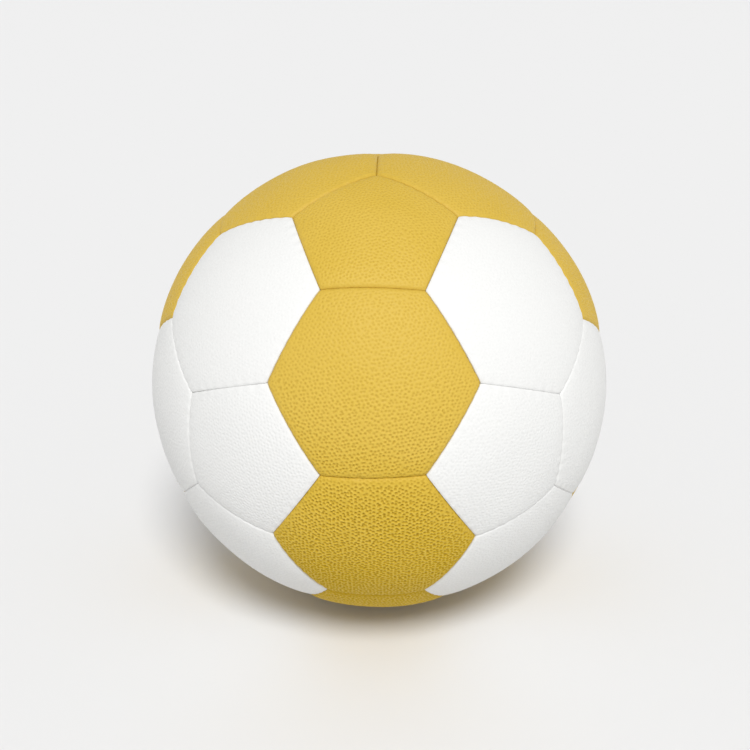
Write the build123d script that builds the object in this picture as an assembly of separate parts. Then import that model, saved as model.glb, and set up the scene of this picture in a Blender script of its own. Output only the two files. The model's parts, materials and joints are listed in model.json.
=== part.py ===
from build123d import *
import os
from itertools import combinations, permutations, product
from math import atan, cos, degrees, pi, radians, sin, sqrt, tan

# A hand-sewn, stuffed medicine ball: 12 pentagon and 20 hexagon leather panels in the pattern of a
# truncated icosahedron, sewn edge to edge around packed fibre with a bag of sand at its centre.
# The origin is the ball's centre. X, Y and Z each pass through the middle of a hexagon-to-hexagon seam,
# and four hexagons and four pentagons are centred on the YZ plane.

# ---- Driving dimensions, in millimetres ---------------------------------------------------------

BALL_RADIUS = 100.0  # over the middle of a panel
SEAM_RADIUS = 99.6  # where the puffed faces of two panels would meet if their edges weren't rolled
SEAM_CLEARANCE = 0.1  # between the two folded rims of a seam
LEATHER_THICKNESS = 1.2
BACKING_THICKNESS = 0.8
GLUE_LINE = 0.02  # between the leather and its backing
ROLL_RADIUS = 1.4  # of a panel's outer edge, where the leather turns inwards
RIM_RADIUS = 94.2  # from the ball's centre to the free edge of the folded rims

STITCH_RADIUS = 96.0  # from the ball's centre to the stitch holes
STITCH_PITCH = 5.0
STITCH_HOLES = 7  # along each seam
HOLE_RADIUS = 0.5
THREAD_RADIUS = 0.4
THREAD_PLAY = 0.05  # between the thread and the face it lies on
THREAD_TAIL = 0.3  # length past the last hole, as a share of the stitch pitch

PAD_EDGE_GAP = 0.15  # between a foam pad and the thread beside it
PAD_EDGE_RADIUS = 1.0
FILLING_GAP = 0.1  # between layers that only lie against each other

BAG_RADIUS = 30.0
BAG_CLOTH = 0.8
BAG_RIM_RADIUS = 36.0
BAG_STITCH_RADIUS = 33.0
BAG_STITCHES = 36

# ---- Panel pattern ------------------------------------------------------------------------------

GOLDEN = (1 + sqrt(5)) / 2
SIGNS = (1, -1)


def turned_round_axes(x, y, z):
    """The same point with its coordinates moved round the three axes."""
    return [Vector(x, y, z), Vector(z, x, y), Vector(y, z, x)]


def pattern_points(y, z):
    """Twelve points: (0, +-y, +-z) and the points that follow from it round the axes."""
    return [p for a, b in product(SIGNS, SIGNS) for p in turned_round_axes(0, a * y, b * z)]


# Pentagons sit at the corners of an icosahedron and hexagons over its faces.
PENTAGON_CENTRES = pattern_points(1, GOLDEN)
CUBE_CORNERS = [Vector(*signs) for signs in product(SIGNS, SIGNS, SIGNS)]
HEXAGON_CENTRES = pattern_points(GOLDEN, 1 / GOLDEN) + CUBE_CORNERS
ICOSAHEDRON_EDGE = 2.0


def are_neighbours(a, b):
    """Whether two pentagon centres are joined by an edge of the icosahedron."""
    return abs((a - b).length - ICOSAHEDRON_EDGE) < 0.001


def corner_between(near, far):
    """The panel corner a third of the way from one pentagon centre to a neighbouring one."""
    return near * (2 / 3) + far * (1 / 3)


NEIGHBOURS = [(a, b) for a, b in permutations(PENTAGON_CENTRES, 2) if are_neighbours(a, b)]
CORNERS = [corner_between(a, b) for a, b in NEIGHBOURS]

HEXAGON_SEAMS = [
    (corner_between(a, b), corner_between(b, a))
    for a, b in combinations(PENTAGON_CENTRES, 2)
    if are_neighbours(a, b)
]
PENTAGON_SEAMS = [
    (corner_between(centre, a), corner_between(centre, b))
    for centre in PENTAGON_CENTRES
    for a, b in combinations(PENTAGON_CENTRES, 2)
    if are_neighbours(centre, a) and are_neighbours(centre, b) and are_neighbours(a, b)
]


def pentagon_colour(centre):
    """White round the ball's waist, yellow above and below."""
    return "white" if abs(centre.Z) < 0.001 else "yellow"


def hexagon_colour(centre):
    """Yellow where the centre lies on the YZ plane or the XZ plane and off the waist, otherwise white."""
    on_a_plane = abs(centre.X) < 0.001 or abs(centre.Y) < 0.001
    return "yellow" if on_a_plane else "white"


def panel_place(centre):
    """The location that takes a panel built on +Z, with a corner towards +X, to its place."""
    corner = max(CORNERS, key=lambda c: c.dot(centre))
    return Plane(origin=(0, 0, 0), x_dir=corner - centre, z_dir=centre).location


def seam_place(ends):
    """The location that takes a seam built on +X, with its length along Y, to its place."""
    start, end = ends
    middle = start + end
    return Plane(origin=(0, 0, 0), x_dir=middle, z_dir=middle.cross(end - start)).location


# ---- Panels, backings and foam pads -------------------------------------------------------------


class PanelShape:
    """The angles and the puffed face of a panel with a given number of sides, built on +Z."""

    def __init__(self, sides, centre):
        corner = max(CORNERS, key=lambda c: c.dot(centre))
        self.sides = sides
        self.corner_tilt = radians(centre.get_angle(corner))
        # the tilt of a side's plane from the panel's axis
        self.side_tilt = atan(tan(self.corner_tilt) * cos(pi / sides))
        self.find_puffed_face()

    def find_puffed_face(self):
        """A sphere smaller than the ball: it touches the ball on the axis and dips to each seam."""
        dip = BALL_RADIUS**2 - SEAM_RADIUS**2
        self.face_centre = dip / (2 * (BALL_RADIUS - SEAM_RADIUS * cos(self.side_tilt)))
        self.face_radius = BALL_RADIUS - self.face_centre

    def wedge(self, inset):
        """The space under a panel, with each side plane moved inwards by inset."""
        tip = inset / sin(self.side_tilt)
        floor = self.corners_at(BALL_RADIUS / 2, tip)
        roof = self.corners_at(BALL_RADIUS * 1.1, tip)
        return ConvexPolyhedron([*floor, *roof])

    def corners_at(self, height, tip):
        """The corners at one height of a pyramid that stands on its tip, which is on the axis."""
        reach = (height - tip) * tan(self.corner_tilt)
        turns = [2 * pi * i / self.sides for i in range(self.sides)]
        return [Vector(reach * cos(turn), reach * sin(turn), height) for turn in turns]

    def block(self, inset, depth, edge_radius):
        """A solid inset from the seam planes and depth below the puffed face, its outer edges rounded."""
        face = Pos(0, 0, self.face_centre) * Sphere(self.face_radius - depth)
        solid = self.wedge(inset) & face
        if edge_radius > 0:
            puffed_face = solid.faces().filter_by(GeomType.SPHERE)[0]
            solid = fillet(puffed_face.edges(), edge_radius)
        return solid

    def layer(self, top, thickness):
        """One layer of a panel, top below the outer face: a dish whose rim is folded inwards."""
        outside = self.block(SEAM_CLEARANCE / 2 + top, top, ROLL_RADIUS - top)
        bottom = top + thickness
        inside = self.block(SEAM_CLEARANCE / 2 + bottom, bottom, ROLL_RADIUS - bottom)
        return outside - inside - Sphere(RIM_RADIUS) - self.stitch_holes()

    def stitch_holes(self):
        """The holes through the folded rims, on all sides."""
        hole_length = 2 * (SEAM_CLEARANCE + LEATHER_THICKNESS + GLUE_LINE + BACKING_THICKNESS) + 1
        hole = Cylinder(HOLE_RADIUS, hole_length)
        outwards = (sin(self.side_tilt), 0, cos(self.side_tilt))
        across = (cos(self.side_tilt), 0, -sin(self.side_tilt))
        seam = Plane(origin=(0, 0, 0), x_dir=outwards, z_dir=across).location
        holes = []
        for side in range(self.sides):
            turn = Rot(0, 0, (side + 0.5) * 360 / self.sides)
            holes += [turn * seam * place * hole for place in stitch_places()]
        return holes

    def pad(self):
        """The foam pad that fills a panel's dish, clear of the thread round its edge."""
        thread_face = SEAM_CLEARANCE / 2 + LEATHER_THICKNESS + GLUE_LINE + BACKING_THICKNESS
        inset = thread_face + THREAD_PLAY + 2 * THREAD_RADIUS + PAD_EDGE_GAP
        depth = LEATHER_THICKNESS + 2 * GLUE_LINE + BACKING_THICKNESS
        return self.block(inset, depth, PAD_EDGE_RADIUS) - Sphere(RIM_RADIUS)


def stitch_angles():
    """Where a seam's stitch holes are along it, in radians from the seam's middle."""
    step = STITCH_PITCH / STITCH_RADIUS
    return [step * (i - (STITCH_HOLES - 1) / 2) for i in range(STITCH_HOLES)]


def stitch_places():
    """A seam's stitch holes, in a plane with +X outwards through the seam's middle."""
    return [Rot(0, 0, degrees(angle)) * Pos(STITCH_RADIUS, 0, 0) for angle in stitch_angles()]


pentagon = PanelShape(5, PENTAGON_CENTRES[0])
hexagon = PanelShape(6, HEXAGON_CENTRES[0])

# ---- Threads ------------------------------------------------------------------------------------


def running_stitch(radius, angles, run_height):
    """A thread along an arc that changes from one side of the work to the other at every stitch hole."""
    tail = (angles[1] - angles[0]) * THREAD_TAIL
    height = run_height
    points = [arc_point(radius, angles[0] - tail, height)]
    for angle in angles:
        points += [arc_point(radius, angle, height), arc_point(radius, angle, -height)]
        height = -height
    points.append(arc_point(radius, angles[-1] + tail, height))
    path = Polyline(*points)
    section = Plane(origin=path @ 0, z_dir=path % 0) * Circle(THREAD_RADIUS)
    return sweep(section, path=path, transition=Transition.RIGHT)


def arc_point(radius, angle, height):
    """The point at an angle round Z."""
    return Vector(radius * cos(angle), radius * sin(angle), height)


def seam_thread():
    """One seam's thread, which lies on the inner face of one folded rim and the other in turn."""
    rim_face = SEAM_CLEARANCE / 2 + LEATHER_THICKNESS + GLUE_LINE + BACKING_THICKNESS
    return running_stitch(STITCH_RADIUS, stitch_angles(), rim_face + THREAD_PLAY + THREAD_RADIUS)


# ---- Stuffing and weight bag --------------------------------------------------------------------


def upper_bag_half():
    """The upper cloth dome of the weight bag, with the flat rim that is sewn to the lower one."""
    rim_bottom = FILLING_GAP / 2
    dome = Sphere(BAG_RADIUS) - Sphere(BAG_RADIUS - BAG_CLOTH)
    disc = Pos(0, 0, rim_bottom + BAG_CLOTH / 2) * Cylinder(BAG_RIM_RADIUS, BAG_CLOTH)
    rim = disc - Sphere(BAG_RADIUS - BAG_CLOTH)
    half = split(dome, bisect_by=Plane.XY.offset(rim_bottom), keep=Keep.TOP) + rim
    return half - bag_stitches(HOLE_RADIUS, 4 * BAG_CLOTH)


def bag_stitches(radius, length):
    """Upright cylinders at every stitch of the weight bag's rim."""
    return [place * Cylinder(radius, length) for place in PolarLocations(BAG_STITCH_RADIUS, BAG_STITCHES)]


def bag_thread():
    """The thread round the weight bag's rim, with its two ends side by side."""
    angles = [2 * pi * i / BAG_STITCHES for i in range(BAG_STITCHES)]
    run_height = FILLING_GAP / 2 + BAG_CLOTH + THREAD_PLAY + THREAD_RADIUS
    return running_stitch(BAG_STITCH_RADIUS, angles, run_height)


def upper_stuffing():
    """The upper half of the packed fibre, hollowed round the weight bag and its sewn rim."""
    ball = Sphere(RIM_RADIUS - FILLING_GAP)
    half = split(ball, bisect_by=Plane.XY.offset(FILLING_GAP / 2), keep=Keep.TOP)
    rim_room = FILLING_GAP / 2 + BAG_CLOTH + THREAD_PLAY + 2 * THREAD_RADIUS + FILLING_GAP
    rim_space = Cylinder(BAG_RIM_RADIUS + FILLING_GAP, 2 * rim_room)
    return half - Sphere(BAG_RADIUS + FILLING_GAP) - rim_space


# ---- Assembly -----------------------------------------------------------------------------------

os.makedirs("parts", exist_ok=True)


def write_panels(shape_name, shape, centres, colour_of):
    """Each leather panel in its own node, numbered within its colour."""
    leather = shape.layer(0, LEATHER_THICKNESS)
    counts = {"yellow": 0, "white": 0}
    for centre in centres:
        colour = colour_of(centre)
        counts[colour] += 1
        name = f"{colour}_{shape_name}_panel_{counts[colour]:02d}"
        export_step(panel_place(centre) * leather, f"parts/{name}.step")


def write_group(name, solid, places):
    """Identical pieces in one node, each its own solid."""
    export_step(Compound(children=[place * solid for place in places]), f"parts/{name}.step")


write_panels("pentagon", pentagon, PENTAGON_CENTRES, pentagon_colour)
write_panels("hexagon", hexagon, HEXAGON_CENTRES, hexagon_colour)

pentagon_places = [panel_place(centre) for centre in PENTAGON_CENTRES]
hexagon_places = [panel_place(centre) for centre in HEXAGON_CENTRES]
backing_top = LEATHER_THICKNESS + GLUE_LINE
write_group("pentagon_backings", pentagon.layer(backing_top, BACKING_THICKNESS), pentagon_places)
write_group("hexagon_backings", hexagon.layer(backing_top, BACKING_THICKNESS), hexagon_places)
write_group("pentagon_foam_pads", pentagon.pad(), pentagon_places)
write_group("hexagon_foam_pads", hexagon.pad(), hexagon_places)

thread = seam_thread()
write_group("hexagon_seam_threads", thread, [seam_place(ends) for ends in HEXAGON_SEAMS])
write_group("pentagon_seam_threads", thread, [seam_place(ends) for ends in PENTAGON_SEAMS])

bag_half = upper_bag_half()
stuffing_half = upper_stuffing()
export_step(bag_half, "parts/weight_bag_upper_half.step")
export_step(mirror(bag_half, about=Plane.XY), "parts/weight_bag_lower_half.step")
export_step(bag_thread(), "parts/weight_bag_thread.step")
export_step(Sphere(BAG_RADIUS - BAG_CLOTH - FILLING_GAP), "parts/sand_filling.step")
export_step(stuffing_half, "parts/upper_stuffing.step")
export_step(mirror(stuffing_half, about=Plane.XY), "parts/lower_stuffing.step")
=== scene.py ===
import itertools
import json
import math
import bpy
import numpy as np
from mathutils import Matrix, Vector


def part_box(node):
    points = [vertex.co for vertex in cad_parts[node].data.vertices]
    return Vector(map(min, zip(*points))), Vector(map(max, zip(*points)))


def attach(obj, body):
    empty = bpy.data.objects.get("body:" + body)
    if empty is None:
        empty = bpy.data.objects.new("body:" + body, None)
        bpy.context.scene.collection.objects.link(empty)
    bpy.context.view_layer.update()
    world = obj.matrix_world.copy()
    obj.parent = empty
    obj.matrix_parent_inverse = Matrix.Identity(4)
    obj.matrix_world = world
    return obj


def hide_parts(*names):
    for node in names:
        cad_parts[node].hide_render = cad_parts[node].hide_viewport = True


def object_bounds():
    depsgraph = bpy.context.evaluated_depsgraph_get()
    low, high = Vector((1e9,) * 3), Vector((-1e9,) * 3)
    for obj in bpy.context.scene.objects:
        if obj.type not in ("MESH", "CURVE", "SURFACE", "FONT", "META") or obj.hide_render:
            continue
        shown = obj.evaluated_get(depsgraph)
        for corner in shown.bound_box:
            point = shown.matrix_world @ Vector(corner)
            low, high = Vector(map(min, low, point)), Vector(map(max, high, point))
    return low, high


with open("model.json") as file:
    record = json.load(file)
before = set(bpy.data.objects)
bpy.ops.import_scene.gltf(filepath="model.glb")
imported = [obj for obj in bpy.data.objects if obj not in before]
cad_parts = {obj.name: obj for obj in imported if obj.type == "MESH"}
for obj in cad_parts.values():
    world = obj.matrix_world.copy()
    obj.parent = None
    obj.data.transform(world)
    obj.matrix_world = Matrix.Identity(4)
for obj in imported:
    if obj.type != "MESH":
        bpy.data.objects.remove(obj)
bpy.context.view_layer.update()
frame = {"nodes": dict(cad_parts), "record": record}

# A stuffed medicine ball of 32 sewn leather panels. Lengths are in metres. The ball's centre is the origin,
# and every panel is a spherical polygon of a truncated icosahedron, puffed, rolled in at its seams and
# pulled down at each stitch. The panels replace the plain CAD ones; the other CAD nodes lie hidden inside.

MM = 0.001
BODY = "root"
SEED = 7

# ---- Driving dimensions -------------------------------------------------------------------------

BALL_RADIUS = 100.0 * MM
SEAM_RADIUS = 99.6 * MM  # where the puffed faces of two panels would meet if their edges weren't rolled
HALF_GAP = 0.025 * MM  # between the folded rim of a panel and its seam plane
LEATHER = 1.1 * MM
ROLL = 2.0 * MM  # radius of a panel's rolled edge
# how far an edge rolls before it is pressed against its neighbour
ROLL_TURN = {"yellow_cover": math.radians(50), "white_cover": math.radians(32)}
RIM_DEPTH = 5.4 * MM  # how far the folded rim reaches below the rolled edge's top
PILLOW_DROP = 0.42 * MM  # the extra dip of the padded face beside a seam
PILLOW_REACH = 4.5 * MM
STITCH_PITCH = 5.0 * MM
PUCKER = 0.17 * MM  # how far each stitch pulls the edge down
PUCKER_REACH = 2.6 * MM
PUCKER_UNEVENNESS = 0.35
LUMPS = 0.12 * MM  # the spread of the uneven filling under a panel
CORNER_WANDER = 0.5 * MM  # hand sewing leaves the corners this far off the pattern

GRAIN_PITCH = 1.6 * MM
GRAIN_DEPTH = {"yellow_cover": 0.48 * MM, "white_cover": 0.14 * MM}
TOP_GRAIN_SHARE = 0.6  # share of the grain, and of the painted pit shade and rim highlight that follow it, left on top of the ball
BOTTOM_GRAIN_SHARE = 1.6
GRAIN_HEIGHT_BAND = (-0.2, 0.45)  # heights, in ball radii, between which the grain and its painted shade and highlight go from the bottom share to the top share
PAINTED_SHADE_HEIGHTS = (-50 * MM, 20 * MM)  # heights between which painted shade darkens the leather's colour towards the bottom of the ball
SMOOTH_GRAIN = 0.4  # share of the grain left where the leather is stretched over its folded edge
SMOOTH_BAND = (0.5 * MM, 3.5 * MM)  # distances from the seam between which the full grain returns
GRAIN_WIDTH = 0.54 * MM
GRAIN_STRETCH = 1.1  # pits are longer than wide
GRAIN_JITTER = 0.27  # how far a pit lies off its lattice point, as a share of the pitch
PIT_STRENGTH = (0.75, 1.1)
PIT_RIM = 0.85  # how much of a pit is pushed up round it
GRAIN_CELLS = 64  # lattice points before the random offsets repeat

RINGS = 104  # from a panel's centre to the start of its rolled edge
ROLL_STEPS = 7
INNER_RINGS = 5
CORNER_ROUNDING = 2  # points on each side that a rolled edge is averaged over

# ---- Pattern ------------------------------------------------------------------------------------

GOLDEN = (1 + math.sqrt(5)) / 2
SIGNS = (1, -1)


def pattern_points(y, z):
    """Twelve points: (0, +-y, +-z) and the points that follow from it round the axes."""
    points = []
    for a, b in itertools.product(SIGNS, SIGNS):
        y1, z1 = a * y, b * z
        points += [(0, y1, z1), (z1, 0, y1), (y1, z1, 0)]
    return points


PENTAGONS = pattern_points(1, GOLDEN)
HEXAGONS = pattern_points(GOLDEN, 1 / GOLDEN) + list(itertools.product(SIGNS, SIGNS, SIGNS))


def unit(v):
    """The vector, or each row of vectors, scaled to length 1."""
    return v / np.linalg.norm(v, axis=-1, keepdims=True)


def hand_sewn_corners():
    """All sixty corner directions, first as in the pattern and then each moved a little off it."""
    rng = np.random.default_rng(SEED)
    centres = np.array(PENTAGONS, float)
    corners = []
    for i, j in itertools.permutations(range(len(centres)), 2):
        if abs(np.linalg.norm(centres[i] - centres[j]) - 2) < 0.001:
            corners.append(unit(centres[i] * 2 / 3 + centres[j] / 3))
    wander = rng.normal(0, CORNER_WANDER / BALL_RADIUS / math.sqrt(3), (len(corners), 3))
    return np.array(corners), unit(np.array(corners) + wander)


TRUE_CORNERS, CORNERS = hand_sewn_corners()


def panel_corners(centre, sides):
    """A panel's corners in order round its centre, seen from outside."""
    axis = unit(np.array(centre, float))
    nearest = np.argsort(-TRUE_CORNERS @ axis, kind="stable")[:sides]
    across = unit(np.cross(axis, (0.3, 0.5, 0.8)))
    up = np.cross(axis, across)
    turn = np.arctan2(TRUE_CORNERS[nearest] @ up, TRUE_CORNERS[nearest] @ across)
    return CORNERS[nearest[np.argsort(turn)]]


# ---- Panel surface ------------------------------------------------------------------------------


def pit_depths(flat, rng):
    """How deep each point of the flat sheet lies in the grain: about 1 in a pit, below 0 on the rims."""
    spin = rng.uniform(0, math.pi)
    turn = np.array([[math.cos(spin), -math.sin(spin)], [math.sin(spin), math.cos(spin)]])
    row_height = GRAIN_PITCH * math.sqrt(3) / 2
    cells = GRAIN_CELLS
    jitter = rng.uniform(-GRAIN_JITTER, GRAIN_JITTER, (cells, cells, 2)) * GRAIN_PITCH
    strength = rng.uniform(*PIT_STRENGTH, (cells, cells))
    local = flat @ turn
    row = np.round(local[:, 1] / row_height).astype(int)
    depth = np.zeros(len(flat))
    for dr, dc in itertools.product((-1, 0, 1), (-1, 0, 1)):
        r = row + dr
        shift = 0.5 * (r % 2)
        c = np.round(local[:, 0] / GRAIN_PITCH - shift).astype(int) + dc
        place = np.stack([(c + shift) * GRAIN_PITCH, r * row_height], 1) + jitter[r % cells, c % cells]
        away = (local - place) / GRAIN_WIDTH
        away[:, 0] /= GRAIN_STRETCH
        q = (away**2).sum(1)
        depth += strength[r % cells, c % cells] * (1 - PIT_RIM * q) * np.exp(-q)
    return depth


def soft_waves(points, rng, count, low, high):
    """A smooth random field over points, the sum of a few plane waves, with a spread of about 1."""
    total = np.zeros(len(points))
    for _ in range(count):
        direction = unit(rng.normal(size=3))
        total += np.sin(points @ direction * rng.uniform(low, high) + rng.uniform(0, 2 * math.pi))
    return total / math.sqrt(count / 2)


class Panel:
    """One leather panel: a closed skin with a puffed face, rolled edges and a folded rim."""

    def __init__(self, centre, sides, slot, rng):
        self.sides = sides
        self.rng = rng
        self.grain_depth = GRAIN_DEPTH[slot]
        self.roll_turn = ROLL_TURN[slot]
        self.corners = panel_corners(centre, sides)
        self.axis = unit(self.corners.sum(0))
        following = np.roll(self.corners, -1, axis=0)
        self.planes = unit(np.cross(self.corners, following))  # each points into the panel
        self.lengths = np.arccos((self.corners * following).sum(1)) * BALL_RADIUS
        tilt = math.asin(float((self.planes @ self.axis).mean()))
        dip = BALL_RADIUS**2 - SEAM_RADIUS**2
        self.face_centre = dip / (2 * (BALL_RADIUS - SEAM_RADIUS * math.cos(tilt)))
        self.face_radius = BALL_RADIUS - self.face_centre

    def loop_between(self, corners, count):
        """Directions round the given corners, count to a side, and the side that each is on."""
        side = np.repeat(np.arange(self.sides), count)
        along = np.tile(np.arange(count) / count, self.sides)[:, None]
        return unit(corners[side] * (1 - along) + corners[(side + 1) % self.sides] * along), side

    def ring_inside(self, outline, side, inset):
        """The outline moved in towards the panel's axis until it is inset from its seam planes."""
        share = np.zeros(len(outline))
        reach = self.planes[side] @ self.axis
        wanted = math.sin(inset / BALL_RADIUS)
        for _ in range(4):
            length = np.linalg.norm(self.axis * share[:, None] + outline * (1 - share[:, None]), axis=1)
            share = wanted * length / reach
        return unit(self.axis * share[:, None] + outline * (1 - share[:, None]))

    def seam_distance(self, directions):
        """Distance from each seam, which seam is nearest, and the place along it, in metres."""
        distance = np.arcsin(np.clip(directions @ self.planes.T, -1, 1)) * BALL_RADIUS
        nearest = distance.argmin(1)
        start = self.corners[nearest]
        tangent = np.cross(self.planes[nearest], start)
        along = np.arctan2((directions * tangent).sum(1), (directions * start).sum(1)) * BALL_RADIUS
        return distance, nearest, along

    def face_height(self, directions):
        """Distance from the ball's centre to the padded face, before the edge roll and the grain."""
        cosine = directions @ self.axis
        sphere = self.face_centre * cosine
        sphere += np.sqrt(self.face_radius**2 - self.face_centre**2 * (1 - cosine**2))
        distance, nearest, along = self.seam_distance(directions)
        inside = np.maximum(distance, 0)
        pillow = np.exp(-inside / PILLOW_REACH).sum(1) * PILLOW_DROP
        stitches = np.maximum(np.round(self.lengths[nearest] / STITCH_PITCH), 1)
        wave = 0.5 + 0.5 * np.cos(2 * math.pi * stitches * along / self.lengths[nearest])
        uneven = 1 + PUCKER_UNEVENNESS * soft_waves(directions * BALL_RADIUS, self.rng, 6, 150, 500)
        pucker = PUCKER * wave * uneven * np.exp(-((inside.min(1) / PUCKER_REACH) ** 2))
        lumps = LUMPS * soft_waves(directions * BALL_RADIUS, self.rng, 8, 60, 220)
        return sphere - pillow - pucker + lumps

    def flat_place(self, directions):
        """Where each point was on the flat sheet that the panel was cut from."""
        across = unit(np.cross(self.axis, (0.1, 0.9, 0.4)))
        up = np.cross(self.axis, across)
        cosine = np.clip(directions @ self.axis, -1, 1)
        angle = np.arccos(cosine)
        sideways = directions - cosine[:, None] * self.axis
        sideways /= np.maximum(np.linalg.norm(sideways, axis=1, keepdims=True), 1e-9)
        sideways *= angle[:, None] * BALL_RADIUS
        return np.stack([sideways @ across, sideways @ up], 1)

    def rounded(self, ring):
        """A closed ring of points with its corners rounded by averaging neighbours."""
        window = np.hanning(2 * CORNER_ROUNDING + 3)[1:-1]
        window /= window.sum()
        looped = np.concatenate([ring[-CORNER_ROUNDING:], ring, ring[:CORNER_ROUNDING]])
        return np.stack([np.convolve(looped[:, k], window, "valid") for k in range(3)], 1)

    def face_rings(self, roll_width):
        """Rings from the panel's middle to the start of its rolled edge, each a point a side larger."""
        edge_corners = self.ring_inside(self.corners, np.arange(self.sides), roll_width)
        rings = [self.axis[None]]
        for k in range(1, RINGS + 1):
            edge, _ = self.loop_between(edge_corners, k)
            rings.append(unit(self.axis * (1 - k / RINGS) + edge * (k / RINGS)))
        return rings

    def edge_rings(self, profile, soften):
        """One ring round the panel for each (inset, drop) of the profile."""
        outline, side = self.loop_between(self.corners, RINGS)
        rings = [self.ring_inside(outline, side, inset) for inset, _ in profile]
        return [unit(self.rounded(ring)) for ring in rings] if soften else rings

    def back_rings(self, roll_width):
        """Rings under the leather, from the folded rim back to the panel's middle."""
        outline, side = self.loop_between(self.corners, RINGS)
        start = self.ring_inside(outline, side, roll_width)
        shares = [k / INNER_RINGS for k in range(INNER_RINGS - 1, 0, -1)]
        return [unit(self.axis * (1 - share) + start * share) for share in shares] + [self.axis[None]]

    def build(self, name):
        """The panel's mesh, with its pit depth kept as an attribute for the leather's shading."""
        roll_width = ROLL * math.sin(self.roll_turn) + HALF_GAP
        roll_drop = ROLL * (1 - math.cos(self.roll_turn))
        turns = [self.roll_turn * k / ROLL_STEPS for k in range(1, ROLL_STEPS + 1)]
        roll = [(roll_width - ROLL * math.sin(turn), ROLL * (1 - math.cos(turn))) for turn in turns]
        rim = [
            (HALF_GAP, roll_drop + 1.0 * MM),
            (HALF_GAP, RIM_DEPTH),
            (HALF_GAP + LEATHER, RIM_DEPTH),
            (HALF_GAP + LEATHER, roll_drop + 1.2 * MM),
            (roll_width + 0.6 * MM, LEATHER),
        ]
        face, back = self.face_rings(roll_width), self.back_rings(roll_width)
        rings = face + self.edge_rings(roll, True) + self.edge_rings(rim, False) + back
        ring_drops = [0] * len(face) + [drop for _, drop in roll + rim] + [LEATHER] * len(back)
        counts = [len(ring) for ring in rings]
        directions = np.concatenate(rings)
        height = self.face_height(directions) - np.repeat(ring_drops, counts)
        grained = sum(counts[: len(face) + len(roll)])
        pits = np.zeros(len(directions))
        pits[:grained] = pit_depths(self.flat_place(directions[:grained]), self.rng)
        # This height scale also makes the painted shade in the pits and the painted highlight on the rims
        # stronger low on the ball.
        pits *= np.interp(directions[:, 2], GRAIN_HEIGHT_BAND, (BOTTOM_GRAIN_SHARE, TOP_GRAIN_SHARE))
        pits *= np.interp(self.seam_distance(directions)[0].min(1), SMOOTH_BAND, (SMOOTH_GRAIN, 1))
        height[:grained] -= self.grain_depth * pits[:grained]
        return make_mesh(name, directions * height[:, None], ring_faces(counts, self.sides), pits)


def triangles(first, second, third):
    """Rows of three corners, with -1 for the fourth."""
    return np.stack([first, second, third, np.full(len(first), -1)], 1)


def ring_faces(rings, sides):
    """Faces between rings of points, given how many points each ring has.

    A fan of triangles grows by a point a side, then come bands of quads and a closing fan.
    """
    faces = []
    starts = np.concatenate([[0], np.cumsum(rings)])
    for level in range(1, len(rings)):
        inner, outer = starts[level - 1], starts[level]
        a, b = rings[level - 1], rings[level]
        if b == a:
            i = np.arange(a)
            j = (i + 1) % a
            faces.append(np.stack([inner + i, outer + i, outer + j, inner + j], 1))
        elif a == 1:
            i = np.arange(b)
            faces.append(triangles(np.full(b, inner), outer + i, outer + (i + 1) % b))
        elif b == 1:
            i = np.arange(a)
            faces.append(triangles(inner + i, np.full(a, outer), inner + (i + 1) % a))
        else:
            k = b // sides
            s = np.repeat(np.arange(sides), k)
            i = np.tile(np.arange(k), sides)
            out = s * k + i
            inn = (s * (k - 1) + i) % a
            faces.append(triangles(inner + inn, outer + out, outer + (out + 1) % b))
            keep = i < k - 1
            s, i = s[keep], i[keep]
            inn = s * (k - 1) + i
            faces.append(triangles(inner + inn, outer + s * k + i + 1, inner + (inn + 1) % a))
    return np.concatenate(faces)


def make_mesh(name, points, faces, pits):
    """A smooth-shaded mesh object from points and faces, where -1 marks a triangle's missing corner."""
    threes = faces[faces[:, 3] < 0][:, :3]
    fours = faces[faces[:, 3] >= 0]
    loops = np.concatenate([threes.ravel(), fours.ravel()]).astype(np.int32)
    sizes = np.concatenate([np.full(len(threes), 3), np.full(len(fours), 4)])
    mesh = bpy.data.meshes.new(name)
    mesh.vertices.add(len(points))
    mesh.vertices.foreach_set("co", points.astype(np.float32).ravel())
    mesh.loops.add(len(loops))
    mesh.loops.foreach_set("vertex_index", loops)
    mesh.polygons.add(len(sizes))
    mesh.polygons.foreach_set("loop_start", np.concatenate([[0], np.cumsum(sizes)[:-1]]).astype(np.int32))
    mesh.polygons.foreach_set("use_smooth", np.ones(len(sizes), bool))
    attribute = mesh.attributes.new("pit", "FLOAT", "POINT")
    attribute.data.foreach_set("value", pits.astype(np.float32))
    mesh.update(calc_edges=True)
    mesh.validate()
    piece = bpy.data.objects.new(name, mesh)
    bpy.context.scene.collection.objects.link(piece)
    return piece


# ---- Materials ----------------------------------------------------------------------------------


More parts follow.
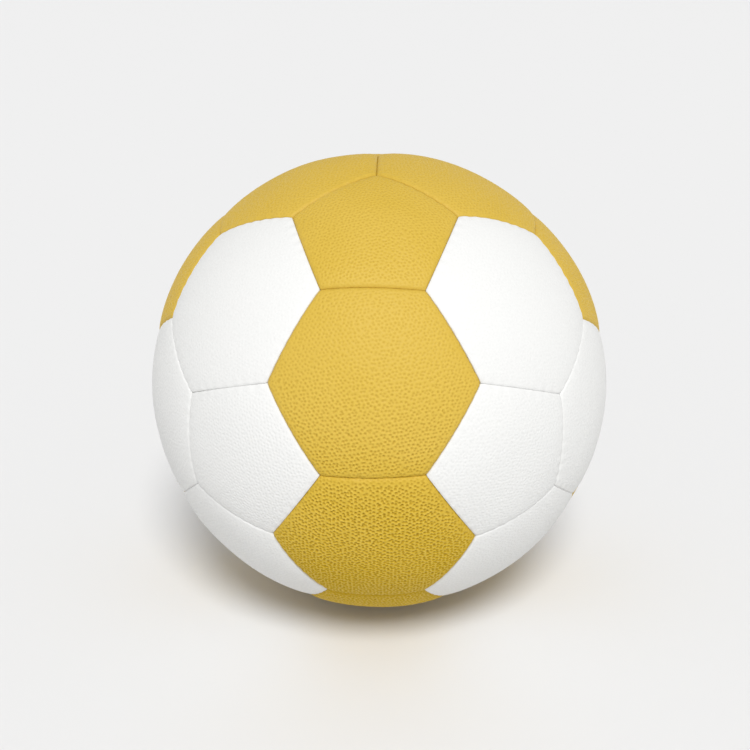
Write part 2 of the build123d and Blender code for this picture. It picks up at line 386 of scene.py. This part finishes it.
class Nodes:
    """A new node material and short calls to fill it."""

    def __init__(self, name):
        self.material = bpy.data.materials.new(name)
        self.material.use_nodes = True
        self.tree = self.material.node_tree
        self.shader = self.tree.nodes["Principled BSDF"]

    def add(self, kind, **settings):
        """A new node of a kind, with its own settings."""
        node = self.tree.nodes.new(kind)
        for key, value in settings.items():
            setattr(node, key, value)
        return node

    def link(self, source, target):
        """Joins an output socket to an input socket."""
        self.tree.links.new(source, target)

    def set(self, node, **inputs):
        """Gives a node's inputs their values, where an underscore in a name stands for a space."""
        for key, value in inputs.items():
            node.inputs[key.replace("_", " ")].default_value = value
        return node

    def noise(self, scale, detail=3.0, roughness=0.5):
        """Noise over the object, from 0 to 1; scale is in blobs to a metre."""
        coordinates = self.add("ShaderNodeTexCoord")
        noise = self.add("ShaderNodeTexNoise")
        self.link(coordinates.outputs["Object"], noise.inputs["Vector"])
        self.set(noise, Scale=scale, Detail=detail, Roughness=roughness)
        return noise.outputs["Fac"]

    def ramp(self, value, low, high, out_low=0.0, out_high=1.0):
        """The value brought from the range low to high into the range out_low to out_high."""
        node = self.add("ShaderNodeMapRange")
        self.link(value, node.inputs["Value"])
        node.inputs["From Min"].default_value = low
        node.inputs["From Max"].default_value = high
        node.inputs["To Min"].default_value = out_low
        node.inputs["To Max"].default_value = out_high
        return node.outputs["Result"]

    def mix(self, factor, first, second):
        """A colour between two, each a colour or a socket."""
        node = self.add("ShaderNodeMix", data_type="RGBA")
        self.link(factor, node.inputs["Factor"])
        for socket, colour in (("A", first), ("B", second)):
            target = [s for s in node.inputs if s.name == socket and s.type == "RGBA"][0]
            if isinstance(colour, tuple):
                target.default_value = (*colour, 1)
            else:
                self.link(colour, target)
        return [s for s in node.outputs if s.type == "RGBA"][0]

    def bump(self, height, strength, distance):
        """The surface's normal with a fine relief."""
        node = self.add("ShaderNodeBump")
        self.set(node, Strength=strength, Distance=distance)
        self.link(height, node.inputs["Height"])
        return node.outputs["Normal"]


def leather(name, colour, lit_top_colour, painted_highlight_colour, painted_pit_shade_colour):
    """Satin synthetic leather, finely wrinkled, with painted shade in its pits and low on the ball and a
    painted highlight on its rims.
    """
    nodes = Nodes(name)
    pit = nodes.add("ShaderNodeAttribute", attribute_name="pit").outputs["Fac"]
    split = nodes.add("ShaderNodeSeparateXYZ")
    nodes.link(nodes.add("ShaderNodeTexCoord").outputs["Object"], split.inputs["Vector"])
    # The colour runs from painted shade low on the ball up to the paler colour on top where the light
    # falls, with a random tone over it.
    height_shade_and_tone = nodes.add("ShaderNodeMath", operation="ADD")
    nodes.link(nodes.ramp(split.outputs["Z"], *PAINTED_SHADE_HEIGHTS), height_shade_and_tone.inputs[0])
    nodes.link(nodes.ramp(nodes.noise(28, 2), 0.35, 0.65, -0.15, 0.15), height_shade_and_tone.inputs[1])
    base = nodes.mix(height_shade_and_tone.outputs[0], colour, lit_top_colour)
    # Painted highlight on the rims between pits and painted shade in the pits, mixed into the colour by pit
    # depth.
    high = nodes.ramp(pit, -0.4, -0.05, 1.0, 0.0)
    pit_shade_share = nodes.ramp(pit, 0.05, 0.9, 0.0, 0.65)
    grained = nodes.mix(pit_shade_share, nodes.mix(high, base, painted_highlight_colour), painted_pit_shade_colour)
    nodes.link(grained, nodes.shader.inputs["Base Color"])
    fine = nodes.noise(1500, 2)
    rough = nodes.add("ShaderNodeMath", operation="ADD")
    nodes.link(nodes.ramp(fine, 0.3, 0.7, 0.48, 0.56), rough.inputs[0])
    nodes.link(nodes.ramp(pit, 0.2, 1.0, 0.0, 0.15), rough.inputs[1])
    nodes.link(rough.outputs[0], nodes.shader.inputs["Roughness"])
    wrinkles = nodes.bump(nodes.noise(1500, 4, 0.65), 0.5, 0.12 * MM)
    nodes.link(wrinkles, nodes.shader.inputs["Normal"])
    nodes.shader.inputs["Specular IOR Level"].default_value = 0.2
    return nodes.material


def textile(name, colour, shade, scale, relief):
    """A woven cloth: two crossing sets of threads, with uneven colour."""
    nodes = Nodes(name)
    coordinates = nodes.add("ShaderNodeTexCoord")
    heights = []
    for direction in ("X", "Z"):
        wave = nodes.add("ShaderNodeTexWave", bands_direction=direction)
        nodes.link(coordinates.outputs["Object"], wave.inputs["Vector"])
        nodes.set(wave, Scale=scale, Distortion=1.5, Detail=1.0)
        heights.append(wave.outputs["Fac"])
    weave = nodes.add("ShaderNodeMath", operation="MAXIMUM")
    for index, height in enumerate(heights):
        nodes.link(height, weave.inputs[index])
    nodes.link(nodes.mix(weave.outputs[0], shade, colour), nodes.shader.inputs["Base Color"])
    nodes.link(nodes.ramp(nodes.noise(600), 0.3, 0.7, 0.8, 0.95), nodes.shader.inputs["Roughness"])
    nodes.link(nodes.bump(weave.outputs[0], 0.6, relief), nodes.shader.inputs["Normal"])
    return nodes.material


def clumps(name, colour, shade, scale, relief, roughness):
    """A granular or fibrous mass: cells of uneven colour and height."""
    nodes = Nodes(name)
    coordinates = nodes.add("ShaderNodeTexCoord")
    cells = nodes.add("ShaderNodeTexVoronoi")
    nodes.link(coordinates.outputs["Object"], cells.inputs["Vector"])
    nodes.set(cells, Scale=scale)
    spread = nodes.ramp(cells.outputs["Distance"], 0.0, 0.8)
    nodes.link(nodes.mix(spread, colour, shade), nodes.shader.inputs["Base Color"])
    rough = nodes.ramp(nodes.noise(scale), 0.3, 0.7, roughness - 0.08, roughness)
    nodes.link(rough, nodes.shader.inputs["Roughness"])
    nodes.link(nodes.bump(spread, 0.5, relief), nodes.shader.inputs["Normal"])
    return nodes.material


# In each leather the first colour is the one painted shade leaves low on the ball, the second the paler
# colour on top where the light falls, the third a painted highlight on the rims between pits and the last
# painted shade in the pits.
MATERIALS = {
    "yellow_cover": leather(
        "yellow_leather",
        colour=(0.495, 0.318, 0.004),
        lit_top_colour=(0.575, 0.390, 0.057),
        painted_highlight_colour=(0.68, 0.485, 0.070),
        painted_pit_shade_colour=(0.36, 0.220, 0.010),
    ),
    "white_cover": leather(
        "white_leather",
        colour=(0.705, 0.705, 0.693),
        lit_top_colour=(0.722, 0.722, 0.710),
        painted_highlight_colour=(0.732, 0.732, 0.720),
        painted_pit_shade_colour=(0.68, 0.68, 0.668),
    ),
    "panel_backing": textile("backing_cloth", (0.60, 0.55, 0.44), (0.40, 0.36, 0.28), 260, 0.2 * MM),
    "foam_padding": clumps("soft_foam", (0.80, 0.78, 0.70), (0.62, 0.60, 0.52), 1600, 0.2 * MM, 0.95),
    "stitching_thread": textile("waxed_thread", (0.74, 0.70, 0.60), (0.45, 0.42, 0.34), 900, 0.1 * MM),
    "packed_fibre": clumps("packed_fibre", (0.42, 0.41, 0.40), (0.20, 0.20, 0.21), 240, 1.0 * MM, 0.98),
    "weight_bag_cloth": textile("bag_canvas", (0.50, 0.44, 0.32), (0.34, 0.29, 0.20), 330, 0.2 * MM),
    "dry_sand": clumps("dry_sand", (0.55, 0.42, 0.25), (0.33, 0.24, 0.13), 2600, 0.2 * MM, 0.9),
}

SLOTS = {part["node"]: part["material_slot"] for part in frame["record"]["subparts"]}


def repaint_cad_nodes():
    """Every CAD node gets its slot's node material."""
    for name, node in frame["nodes"].items():
        node.data.materials.clear()
        node.data.materials.append(MATERIALS[SLOTS[name]])


# ---- Ball ---------------------------------------------------------------------------------------


def node_towards(axis, shape):
    """The name of the CAD panel whose box is centred nearest to a direction."""

    def closeness(name):
        low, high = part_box(name)
        return float(unit(np.array((low + high) / 2)) @ axis)

    return max((n for n in frame["nodes"] if f"_{shape}_panel_" in n), key=closeness)


def make_panels():
    """One leather piece for each CAD panel node."""
    for shape, sides, centres in (("pentagon", 5, PENTAGONS), ("hexagon", 6, HEXAGONS)):
        for index, centre in enumerate(centres):
            rng = np.random.default_rng([SEED, sides, index])
            node = node_towards(unit(np.array(centre, float)), shape)
            panel = Panel(centre, sides, SLOTS[node], rng)
            piece = panel.build(node.replace("_panel_", "_cover_"))
            piece.data.materials.append(MATERIALS[SLOTS[node]])
            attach(piece, BODY)
            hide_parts(node)


# ---- Studio -------------------------------------------------------------------------------------

FLOOR_SIZE = 60.0
CAMERA_DISTANCE = 5.12 * BALL_RADIUS
CAMERA_AZIMUTH = math.radians(1.5)
CAMERA_ELEVATION = math.radians(21.8)
CAMERA_ROLL = math.radians(-0.46)
LENS = 54.8  # millimetres, on a 36 mm sensor
AIM_LEFT = 1.84 * MM  # the camera looks slightly past the ball's centre
AIM_UP = 1.91 * MM
KEY_AZIMUTH = math.radians(8)
KEY_ELEVATION = math.radians(51)
KEY_WIDTH = math.radians(20)  # how large the light looks from the ball
KEY_STRENGTH = 2.5
WALL_LIGHT = 0.95
CEILING_LIGHT = 0.42
CEILING_HEIGHT = 0.8  # height above the horizon, as a sine, where the wall's light has faded to it
FLOOR_SHADE = 0.76


def direction(azimuth, elevation):
    """A unit vector from the ball: azimuth 0 is the front, elevation is above the floor."""
    flat = math.cos(elevation)
    return Vector((math.sin(azimuth) * flat, -math.cos(azimuth) * flat, math.sin(elevation)))


def look_at(thing, target):
    """Turns a lamp so that it shines at a point."""
    thing.rotation_euler = (target - thing.location).to_track_quat("-Z", "Y").to_euler()


def make_floor():
    """A plain pale floor under the lowest point of the ball."""
    mesh = bpy.data.meshes.new("studio_floor")
    half = FLOOR_SIZE / 2
    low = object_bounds()[0].z
    corners = [(-half, -half, low), (half, -half, low), (half, half, low), (-half, half, low)]
    mesh.from_pydata(corners, [], [(0, 1, 2, 3)])
    floor = bpy.data.objects.new("studio_floor", mesh)
    bpy.context.scene.collection.objects.link(floor)
    nodes = Nodes("pale_floor")
    nodes.shader.inputs["Base Color"].default_value = (FLOOR_SHADE, FLOOR_SHADE, FLOOR_SHADE, 1)
    nodes.shader.inputs["Roughness"].default_value = 0.9
    nodes.shader.inputs["Specular IOR Level"].default_value = 0.1
    mesh.materials.append(nodes.material)


def make_key():
    """A very soft light from above the front, a little to the right, that lights the floor evenly."""
    light = bpy.data.lights.new("key", "SUN")
    light.angle = KEY_WIDTH
    light.energy = KEY_STRENGTH
    lamp = bpy.data.objects.new("key", light)
    bpy.context.scene.collection.objects.link(lamp)
    lamp.location = direction(KEY_AZIMUTH, KEY_ELEVATION) * 2
    look_at(lamp, Vector((0, 0, 0)))


def make_world():
    """Soft light from all round, brightest at the horizon, like the walls of a white studio."""
    world = bpy.data.worlds.new("studio_air")
    world.use_nodes = True
    tree = world.node_tree
    coordinates = tree.nodes.new("ShaderNodeTexCoord")
    split = tree.nodes.new("ShaderNodeSeparateXYZ")
    ramp = tree.nodes.new("ShaderNodeMapRange")
    tree.links.new(coordinates.outputs["Generated"], split.inputs["Vector"])
    tree.links.new(split.outputs["Z"], ramp.inputs["Value"])
    ramp.inputs["From Max"].default_value = CEILING_HEIGHT
    ramp.inputs["To Min"].default_value = WALL_LIGHT
    ramp.inputs["To Max"].default_value = CEILING_LIGHT
    tree.links.new(ramp.outputs["Result"], tree.nodes["Background"].inputs["Strength"])
    tree.nodes["Background"].inputs["Color"].default_value = (1, 1, 1, 1)
    bpy.context.scene.world = world


def make_camera():
    """The camera, in front of the ball and above it, turned slightly about its own line of sight."""
    data = bpy.data.cameras.new("camera")
    data.lens = LENS
    data.sensor_width = 36
    data.clip_start = 0.01
    camera = bpy.data.objects.new("camera", data)
    bpy.context.scene.collection.objects.link(camera)
    towards = direction(CAMERA_AZIMUTH, CAMERA_ELEVATION)
    camera.location = towards * CAMERA_DISTANCE
    right = Vector((math.cos(CAMERA_AZIMUTH), math.sin(CAMERA_AZIMUTH), 0))
    up = towards.cross(right)
    target = -right * AIM_LEFT + up * AIM_UP
    facing = (target - camera.location).to_track_quat("-Z", "Y").to_matrix()
    camera.rotation_euler = (facing @ Matrix.Rotation(CAMERA_ROLL, 3, "Z")).to_euler()
    bpy.context.scene.camera = camera


repaint_cad_nodes()
make_panels()
make_floor()
make_key()
make_world()
make_camera()
bpy.context.scene.view_settings.view_transform = "Standard"
